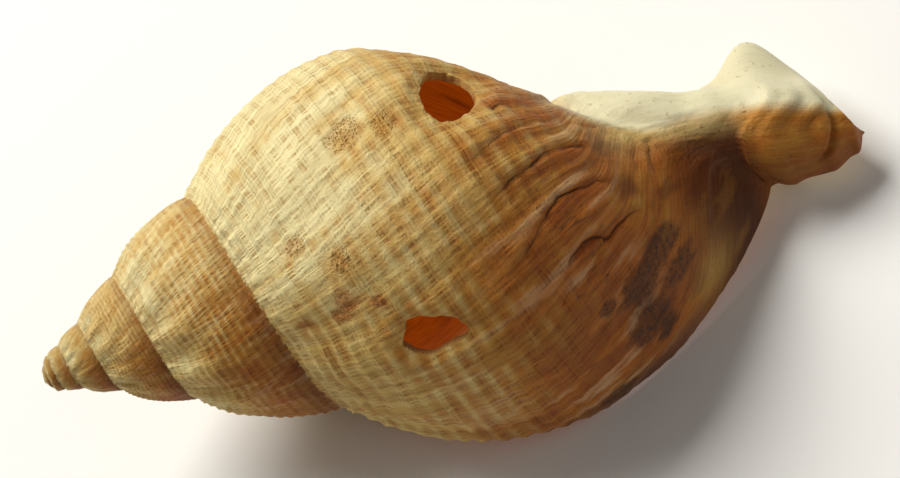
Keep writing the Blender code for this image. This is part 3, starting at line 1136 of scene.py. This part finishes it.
    def hole_plug(self, hole: WornHole, number: int) -> bpy.types.Object:
        """Uneven plug that stands square to the wall and goes through it.

        Args:
            hole: The worn hole that it makes.
            number: The hole's number, for the plug's name.

        Returns:
            The closed cutter.
        """
        coil = self.coil
        turns = np.array([hole.turn, hole.turn + 0.01, hole.turn])
        places = np.array([hole.along, hole.along, hole.along + 1.0])
        middle, across, down = coil.place(turns, places, coil.outside(turns, places))
        normal = coil.normal(np.array([hole.turn]), np.array([hole.along]))[0]
        down = (down - middle) / np.linalg.norm(down - middle)
        across = across - middle
        across = across - normal * (across @ normal)
        across = across - down * (across @ down)
        across = across / np.linalg.norm(across)
        piece = GridPiece(f"hole_{number}", self.plug_columns, self.plug_rows)
        angle = math.tau * piece.row / self.plug_rows
        height = self.plug_foot + self.plug_length * piece.column / self.plug_columns
        flat_along, flat_across = hole.rim(angle)
        points = middle + np.outer(flat_along, down) + np.outer(flat_across, across)
        piece.lay(points + np.outer(height, normal))
        colour = np.tile(Tone.CREAM.linear(), (len(angle), 1))
        colour = tinted(colour, Tone.TAN, 0.7 + 0.3 * patchy(angle * 3.0, height, 74.0))
        colour = tinted(colour, Tone.UMBER, 0.35 + 0.3 * np.sin(angle + 2.0 * hole.seed))
        return piece.as_cutter(colour, 0.0, angle, height)

    def build(self) -> bpy.types.Object:
        """Makes the carved outside, cuts the hollows from it and lays it down.

        Returns:
            The finished shell, in metres and in its resting place.
        """
        spire = [self.spire(*stage).obj for stage in self.stages]
        body = self.body().obj
        pick(*spire, body)
        bpy.ops.object.join()
        body.name = "whelk"
        close_up(body, OUTSIDE_WELD)
        body.data.materials.append(self.outside_finish)
        report_mesh(body)
        plugs = [self.hole_plug(hole, number) for number, hole in enumerate(HOLES, 1)]
        for cutter in (self.hollow(), self.channel(), *plugs):
            cutter.data.materials.append(self.outside_finish if cutter in plugs else self.lining_finish)
            cut_away(body, cutter)
        report_mesh(body)
        mend_colours(body)
        self.lie_down(body)
        return body

    def lie_down(self, body: bpy.types.Object) -> None:
        """Turns the shell into its resting pose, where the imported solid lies.

        Args:
            body: The shell, in its own axes.
        """
        mesh = body.data
        turned = points_of(mesh) @ np.array(self.coil.rest()).T
        low, high = turned.min(axis=0), turned.max(axis=0)
        box_low, box_high = np.array(CAD_BOX[0]), np.array(CAD_BOX[1])
        tip = high[0] - box_high[0]
        middle = (low[1] + high[1] - box_low[1] - box_high[1]) / 2.0
        shift = np.array([tip, middle, low[2] - box_low[2]])
        mesh.vertices.foreach_set("co", (turned - shift).ravel())
        mesh.update()
        self.shift = tuple(shift)


def cut_away(body: bpy.types.Object, cutter: bpy.types.Object) -> None:
    """Cuts one closed piece out of another. The new faces keep the cutter's finish.

    Args:
        body: The piece that is cut.
        cutter: The piece that is taken out of it, and then removed.
    """
    report_mesh(cutter)
    cut = body.modifiers.new(cutter.name, "BOOLEAN")
    cut.operation = "DIFFERENCE"
    cut.solver = "MANIFOLD"
    cut.material_mode = "TRANSFER"
    cut.object = cutter
    pick(body)
    bpy.ops.object.modifier_apply(modifier=cut.name)
    bpy.data.objects.remove(cutter, do_unlink=True)


def mend_colours(obj: bpy.types.Object) -> None:
    """Gives the vertices that a cut has left white the colour of their neighbours.

    Args:
        obj: The shell, after its cuts.
    """
    mesh = obj.data
    coat = np.empty(len(mesh.vertices) * 4)
    mesh.attributes["coat"].data.foreach_get("color", coat)
    coat = coat.reshape(-1, 4)
    ends = np.empty(len(mesh.edges) * 2, int)
    mesh.edges.foreach_get("vertices", ends)
    pairs = ends.reshape(-1, 2)
    blank = coat[:, :3].min(axis=1) > PLAIN_WHITE
    while blank.any():
        total, count = np.zeros((len(coat), 3)), np.zeros(len(coat))
        for to, source in ((0, 1), (1, 0)):
            good = ~blank[pairs[:, source]]
            np.add.at(total, pairs[good, to], coat[pairs[good, source], :3])
            np.add.at(count, pairs[good, to], 1.0)
        found = blank & (count > 0)
        if not found.any():
            break
        coat[found, :3] = total[found] / count[found, None]
        blank = blank & ~found
    mesh.attributes["coat"].data.foreach_set("color", coat.ravel())


def report_mesh(obj: bpy.types.Object) -> None:
    """Logs how large a mesh is and whether it is closed.

    Args:
        obj: The piece.
    """
    mesh = obj.data
    ends = np.empty(len(mesh.loops), int)
    mesh.loops.foreach_get("edge_index", ends)
    uses = np.bincount(ends, minlength=len(mesh.edges))
    open_edges = int((uses != 2).sum())
    LOG.info("%s: %d faces, %d edges not shared by two faces", obj.name, len(mesh.polygons), open_edges)


class NodeBench:
    """Places and joins shader nodes in one tree."""

    def __init__(self, tree: bpy.types.NodeTree) -> None:
        """Keeps the tree that is being built."""
        self.tree = tree

    def add(self, kind: str, **values: object) -> bpy.types.Node:
        """Adds a node and sets its properties."""
        node = self.tree.nodes.new(kind)
        for name, value in values.items():
            setattr(node, name, value)
        return node

    def join(self, source: bpy.types.NodeSocket, target: bpy.types.NodeSocket) -> None:
        """Links two sockets."""
        self.tree.links.new(source, target)

    def feed(self, socket: bpy.types.NodeSocket, value: object) -> None:
        """Links a socket to another, or sets it to a value."""
        if isinstance(value, bpy.types.NodeSocket):
            self.join(value, socket)
        else:
            socket.default_value = value

    def maths(self, kind: str, *values: object) -> bpy.types.NodeSocket:
        """Works out one sum.

        Args:
            kind: The sum to do.
            values: Sockets or numbers.

        Returns:
            The result.
        """
        node = self.add("ShaderNodeMath", operation=kind)
        for socket, value in zip(node.inputs, values):
            self.feed(socket, value)
        return node.outputs[0]

    def times(self, first: object, second: object) -> bpy.types.NodeSocket:
        """First multiplied by second."""
        return self.maths("MULTIPLY", first, second)

    def plus(self, first: object, second: object) -> bpy.types.NodeSocket:
        """First and second added."""
        return self.maths("ADD", first, second)

    def minus(self, first: object, second: object) -> bpy.types.NodeSocket:
        """First less second."""
        return self.maths("SUBTRACT", first, second)

    def ramp(self, source: object, low: float, high: float) -> bpy.types.NodeSocket:
        """A smooth rise.

        Args:
            source: Socket or number that is read.
            low: Where the result is 0.
            high: Where the result is 1.

        Returns:
            The result, from 0 to 1.
        """
        node = self.add("ShaderNodeMapRange", interpolation_type="SMOOTHSTEP")
        self.feed(node.inputs["Value"], source)
        node.inputs["From Min"].default_value = low
        node.inputs["From Max"].default_value = high
        return node.outputs["Result"]

    def blend(self, amount: object, first: object, second: object,
              kind: str = "MIX") -> bpy.types.NodeSocket:
        """Mixes two colours.

        Args:
            amount: How much of the second, from 0 to 1.
            first: The lower colour.
            second: The upper colour.
            kind: How they mix.

        Returns:
            The mixed colour.
        """
        node = self.add("ShaderNodeMix", data_type="RGBA", blend_type=kind)
        for index, value in ((0, amount), (6, first), (7, second)):
            self.feed(node.inputs[index], value)
        return node.outputs[2]

    def noise(self, vector: object, scale: float, detail: float,
              stretch: tuple[float, float, float] = (1.0, 1.0, 1.0),
              roughness: float = 0.5) -> bpy.types.NodeSocket:
        """Cloudy noise.

        Args:
            vector: Where the noise is read.
            scale: Cells to a unit.
            detail: Finer layers added.
            stretch: How the vector is stretched first.
            roughness: How strong the finer layers are.

        Returns:
            The noise, from 0 to 1.
        """
        mapping = self.add("ShaderNodeMapping")
        mapping.inputs["Scale"].default_value = stretch
        self.feed(mapping.inputs["Vector"], vector)
        node = self.add("ShaderNodeTexNoise")
        self.feed(node.inputs["Vector"], mapping.outputs["Vector"])
        self.feed(node.inputs["Scale"], scale)
        node.inputs["Detail"].default_value = detail
        node.inputs["Roughness"].default_value = roughness
        return node.outputs["Fac"]


def sea_grain() -> bpy.types.NodeTree:
    """Builds the group for fine weathering: growth and cord threads on the UV map, grains and pits.

    Returns:
        The node group, with its masks and its height as outputs.
    """
    group = bpy.data.node_groups.new("sea_grain", "ShaderNodeTree")
    for name, value in (("Threads", 1.0), ("Pitting", 0.0)):
        socket = group.interface.new_socket(name, in_out="INPUT", socket_type="NodeSocketFloat")
        socket.default_value = value
    bench = NodeBench(group)
    given = bench.add("NodeGroupInput")
    result = bench.add("NodeGroupOutput")
    place = bench.add("ShaderNodeTexCoord")
    coiled, solid = place.outputs["UV"], place.outputs["Object"]
    fine = bench.noise(coiled, 1.0, 2.0, (300.0, 0.45, 1.0), 0.5)
    broad = bench.noise(coiled, 1.0, 2.0, (70.0, 0.16, 1.0), 0.5)
    spiral = bench.noise(coiled, 1.0, 3.0, (16.0, 5.0, 1.0), 0.6)
    grain = bench.noise(solid, 1700.0, 5.0, roughness=0.7)
    cells = bench.add("ShaderNodeTexVoronoi", feature="DISTANCE_TO_EDGE")
    cells.inputs["Scale"].default_value = 2600.0
    bench.join(solid, cells.inputs["Vector"])
    pits = bench.times(bench.ramp(cells.outputs["Distance"], 0.10, 0.32), given.outputs["Pitting"])
    split = bench.add("ShaderNodeSeparateXYZ")
    bench.join(coiled, split.inputs["Vector"])
    drift = bench.noise(coiled, 1.0, 2.0, (40.0, 0.7, 1.0))
    cord = bench.plus(split.outputs["Y"], bench.times(drift, 0.35))
    main = bench.ramp(bench.maths("COSINE", bench.times(cord, math.tau)), -0.30, -1.0)
    thin = bench.ramp(bench.maths("COSINE", bench.times(cord, 4.0 * math.tau)), 0.0, -1.0)
    patch = bench.ramp(bench.noise(coiled, 1.0, 2.0, (22.0, 1.6, 1.0)), 0.34, 0.64)
    broken = bench.ramp(fine, 0.62, 0.40)
    grooves = bench.plus(bench.times(main, 0.55), bench.times(thin, 0.5))
    grooves = bench.times(bench.times(grooves, patch), broken)
    lines = bench.plus(bench.times(fine, 0.9), bench.times(broad, 0.7))
    lines = bench.minus(lines, bench.times(grooves, 0.7))
    lines = bench.plus(lines, bench.times(spiral, 0.7))
    height = bench.times(lines, given.outputs["Threads"])
    height = bench.plus(height, bench.times(grain, 1.15))
    height = bench.minus(height, bench.times(pits, 1.1))
    middle = bench.maths("ABSOLUTE", bench.minus(broad, 0.5))
    some = bench.ramp(bench.noise(coiled, 1.0, 2.0, (30.0, 0.5, 1.0)), 0.50, 0.60)
    cracks = bench.times(bench.ramp(middle, 0.016, 0.002), some)
    given_out = {
        "Height": height, "Fine lines": fine, "Broad lines": broad, "Specks": grain, "Pits": pits,
        "Cells": cells.outputs["Distance"], "Grooves": grooves, "Cracks": cracks,
    }
    for name, socket in given_out.items():
        group.interface.new_socket(name, in_out="OUTPUT", socket_type="NodeSocketFloat")
        bench.join(socket, result.inputs[name])
    return group


@dataclass(frozen=True)
class OutsideFinish:
    """Weathered lime, cream to rust, striped along its growth lines and smoother where it is bare."""

    name: str = "weathered_outside"
    roughness: float = 0.62
    bare_roughness: float = 0.42
    bump: float = 0.65
    bump_height: float = 0.00030
    shadow_brown: tuple[float, float, float, float] = (0.34, 0.21, 0.085, 1.0)
    rust: tuple[float, float, float, float] = (0.40, 0.17, 0.035, 1.0)
    groove_dust: tuple[float, float, float, float] = (0.66, 0.43, 0.19, 1.0)
    dirt: tuple[float, float, float, float] = (0.045, 0.018, 0.006, 1.0)
    bleached: tuple[float, float, float, float] = (0.86, 0.78, 0.52, 1.0)
    specular: float = 0.25
    masks: tuple[str, ...] = (
        "bare", "pitting", "stained", "stripes", "cords", "crease_off", "crease_strength"
    )

    def material(self, grain_group: bpy.types.NodeTree) -> bpy.types.Material:
        """Builds the material.

        Args:
            grain_group: The shared weathering group.

        Returns:
            A material that reads the masks carved into the shell.
        """
        material = bpy.data.materials.new(self.name)
        material.use_nodes = True
        bench = NodeBench(material.node_tree)
        surface = material.node_tree.nodes["Principled BSDF"]
        coat = bench.add("ShaderNodeAttribute", attribute_name="coat")
        mask = {name: bench.add("ShaderNodeAttribute", attribute_name=name).outputs["Fac"]
                for name in self.masks}
        grain = bench.add("ShaderNodeGroup", node_tree=grain_group)
        weather = grain.outputs
        bench.join(mask["pitting"], grain.inputs["Pitting"])
        bench.join(bench.ramp(mask["stripes"], -0.05, 0.60), grain.inputs["Threads"])
        worn = bench.minus(1.0, bench.times(mask["bare"], 0.80))
        stripes = bench.times(mask["stripes"], worn)
        colour = coat.outputs["Color"]
        broad = bench.times(bench.ramp(weather["Broad lines"], 0.56, 0.40), stripes)
        brown = bench.blend(1.0, colour, self.shadow_brown, "MULTIPLY")
        colour = bench.blend(bench.times(broad, 0.50), colour, brown)
        unstained = bench.minus(1.0, mask["stained"])
        light = bench.times(bench.ramp(weather["Broad lines"], 0.53, 0.66), stripes)
        light = bench.times(light, unstained)
        colour = bench.blend(bench.times(light, 0.28), colour, self.bleached)
        fine = bench.ramp(weather["Fine lines"], 0.56, 0.38)
        colour = bench.blend(bench.times(bench.times(fine, 0.30), worn), colour, brown)
        grooved = bench.times(weather["Grooves"], mask["cords"])
        dusty = bench.blend(1.0, colour, self.groove_dust, "MULTIPLY")
        colour = bench.blend(bench.times(grooved, 0.85), colour, dusty)
        specks = bench.times(bench.ramp(weather["Specks"], 0.58, 0.70), 0.45)
        colour = bench.blend(specks, colour, brown)
        colour = bench.blend(bench.times(weather["Pits"], 0.55), colour, self.rust)
        cracks = bench.times(weather["Cracks"], bench.ramp(stripes, 0.4, 0.9))
        colour = bench.blend(bench.times(cracks, 0.65), colour, self.dirt)
        blot = bench.times(bench.ramp(weather["Specks"], 0.44, 0.56), mask["stained"])
        net = bench.plus(0.45, bench.times(bench.ramp(weather["Cells"], 0.05, 0.25), 0.55))
        colour = bench.blend(bench.times(bench.times(blot, net), 0.92), colour, self.dirt)
        wander = bench.times(bench.minus(weather["Specks"], 0.5), 0.5)
        off = bench.maths("ABSOLUTE", bench.plus(mask["crease_off"], wander))
        line = bench.times(bench.ramp(off, 0.24, 0.04), mask["crease_strength"])
        line = bench.ramp(line, 0.10, 0.75)
        colour = bench.blend(bench.times(line, 0.85), colour, self.dirt)
        bench.join(colour, surface.inputs["Base Color"])
        rough = bench.add("ShaderNodeMapRange")
        bench.join(mask["bare"], rough.inputs["Value"])
        rough.inputs["To Min"].default_value = self.roughness
        rough.inputs["To Max"].default_value = self.bare_roughness
        bench.join(rough.outputs["Result"], surface.inputs["Roughness"])
        bump = bench.add("ShaderNodeBump")
        bump.inputs["Strength"].default_value = self.bump
        bump.inputs["Distance"].default_value = self.bump_height
        raised = bench.times(weather["Height"], worn)
        bench.join(bench.minus(raised, bench.times(line, 1.2)), bump.inputs["Height"])
        bench.join(bump.outputs["Normal"], surface.inputs["Normal"])
        surface.inputs["Specular IOR Level"].default_value = self.specular
        return material


@dataclass(frozen=True)
class LiningFinish:
    """Smooth glossy lining, with a painted glow in its own colour that stands in for light coming through
    the thin wall.
    """

    name: str = "smooth_lining"
    threads: float = 0.25
    roughness: float = 0.30
    bump: float = 0.20
    bump_height: float = 0.0002
    # Painted light: how strongly the lining glows, though no lamp is inside the shell.
    glow: float = 0.24
    specular: float = 0.2
    deep: tuple[float, float, float, float] = (0.45, 0.20, 0.06, 1.0)

    def material(self, grain_group: bpy.types.NodeTree) -> bpy.types.Material:
        """Builds the material.

        Args:
            grain_group: The shared weathering group.

        Returns:
            A material for the hollow and the canal's channel.
        """
        material = bpy.data.materials.new(self.name)
        material.use_nodes = True
        bench = NodeBench(material.node_tree)
        surface = material.node_tree.nodes["Principled BSDF"]
        coat = bench.add("ShaderNodeAttribute", attribute_name="coat")
        grain = bench.add("ShaderNodeGroup", node_tree=grain_group)
        weather = grain.outputs
        grain.inputs["Threads"].default_value = self.threads
        shade = bench.ramp(weather["Fine lines"], 0.36, 0.60)
        deeper = bench.blend(0.35, coat.outputs["Color"], self.deep, "MULTIPLY")
        colour = bench.blend(shade, deeper, coat.outputs["Color"])
        bench.join(colour, surface.inputs["Base Color"])
        # Painted light: the lining glows in its own colour, as if light came through the thin wall.
        bench.join(colour, surface.inputs["Emission Color"])
        surface.inputs["Emission Strength"].default_value = self.glow
        surface.inputs["Roughness"].default_value = self.roughness
        bump = bench.add("ShaderNodeBump")
        bump.inputs["Strength"].default_value = self.bump
        bump.inputs["Distance"].default_value = self.bump_height
        bench.join(weather["Height"], bump.inputs["Height"])
        bench.join(bump.outputs["Normal"], surface.inputs["Normal"])
        surface.inputs["Specular IOR Level"].default_value = self.specular
        return material


@dataclass(frozen=True)
class SoftLight:
    """A soft square light, placed along the camera's right, up and backward directions."""

    name: str
    offset: tuple[float, float, float]
    size: float
    power: float
    colour: tuple[float, float, float]


@dataclass(frozen=True)
class Studio:
    """Pale floor, soft lights and the camera."""

    coil: Coil
    shift: tuple[float, ...]
    distance: float = 0.400
    lens: float = 160.0
    sensor: float = 36.0
    nearest: float = 0.01
    tilt: float = math.radians(20.5)
    aim_along: float = 0.0425
    aim_right: float = 0.00079
    aim_down: float = 0.00228
    floor_side: float = 6.0
    floor_grey: float = 0.86
    floor_roughness: float = 0.9
    air: tuple[float, float, float, float] = (1.0, 0.97, 0.92, 1.0)
    air_strength: float = 0.13
    lights: tuple[SoftLight, ...] = (
        SoftLight("key", (-0.56, 0.52, 0.30), 0.50, 9.0, (1.0, 0.97, 0.90)),
        SoftLight("fill", (0.30, 0.10, 0.80), 0.60, 0.8, (1.0, 0.93, 0.84)),
    )

    def directions(self) -> tuple[Vector, Vector, Vector]:
        """Which way the camera is turned.

        Returns:
            Its right, up and backward directions.
        """
        rest = self.coil.rest()
        right = rest @ Vector((math.cos(self.tilt), -math.sin(self.tilt), 0.0))
        up = rest @ Vector((math.sin(self.tilt), math.cos(self.tilt), 0.0))
        return right, up, rest @ Vector((0.0, 0.0, 1.0))

    def target(self) -> Vector:
        """The point at the middle of the view."""
        right, up, _ = self.directions()
        on_axis = self.coil.rest() @ Vector((self.aim_along, 0.0, 0.0)) - Vector(self.shift)
        return on_axis + right * self.aim_right - up * self.aim_down

    def camera(self) -> None:
        """Sets the camera over the shell's back."""
        right, up, back = self.directions()
        camera = bpy.data.objects.new("camera", bpy.data.cameras.new("camera"))
        bpy.context.scene.collection.objects.link(camera)
        turn = Matrix((right, up, back)).transposed().to_4x4()
        camera.matrix_world = Matrix.Translation(self.target() + back * self.distance) @ turn
        camera.data.lens = self.lens
        camera.data.sensor_width = self.sensor
        camera.data.clip_start = self.nearest
        bpy.context.scene.camera = camera

    def floor(self) -> None:
        """A plain pale floor under everything."""
        bpy.ops.object.select_all(action="DESELECT")
        bpy.ops.mesh.primitive_plane_add(size=self.floor_side, location=(0.0, 0.0, 0.0))
        floor = bpy.context.object
        floor.name = "floor"
        material = bpy.data.materials.new("pale_floor")
        material.use_nodes = True
        surface = material.node_tree.nodes["Principled BSDF"]
        surface.inputs["Base Color"].default_value = (*[self.floor_grey] * 3, 1.0)
        surface.inputs["Roughness"].default_value = self.floor_roughness
        floor.data.materials.append(material)

    def light(self, kind: SoftLight) -> None:
        """Adds one soft light.

        Args:
            kind: Its place, size, power and colour.
        """
        lamp = bpy.data.lights.new(kind.name, "AREA")
        lamp.size = kind.size
        lamp.energy = kind.power
        lamp.color = kind.colour
        obj = bpy.data.objects.new(kind.name, lamp)
        bpy.context.scene.collection.objects.link(obj)
        away = sum((axis * part for axis, part in zip(self.directions(), kind.offset)), Vector())
        obj.location = self.target() + away
        obj.rotation_euler = away.to_track_quat("Z", "Y").to_euler()

    def set_up(self) -> None:
        """Builds the whole studio."""
        self.camera()
        self.floor()
        for kind in self.lights:
            self.light(kind)
        world = bpy.data.worlds.new("studio")
        world.use_nodes = True
        sky = world.node_tree.nodes["Background"]
        sky.inputs["Color"].default_value = self.air
        sky.inputs["Strength"].default_value = self.air_strength
        bpy.context.scene.world = world
        bpy.context.scene.view_settings.view_transform = "Standard"


def dress(shell: bpy.types.Object) -> None:
    """Smooths the shell and gives it its place on the frame.

    Args:
        shell: The finished shell.
    """
    pick(shell)
    bpy.ops.object.shade_smooth_by_angle(angle=SHARP_EDGE)
    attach(shell, "root")
    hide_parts("whelk_shell")


def main() -> None:
    """Builds the shell and its studio."""
    logging.basicConfig(level=logging.INFO, format="%(name)s: %(message)s")
    coil = Coil()
    grain = sea_grain()
    builder = ShellBuilder(coil, OutsideFinish().material(grain), LiningFinish().material(grain))
    shell = builder.build()
    dress(shell)
    Studio(coil, builder.shift).set_up()
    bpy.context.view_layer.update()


if __name__ == "__main__":
    main()
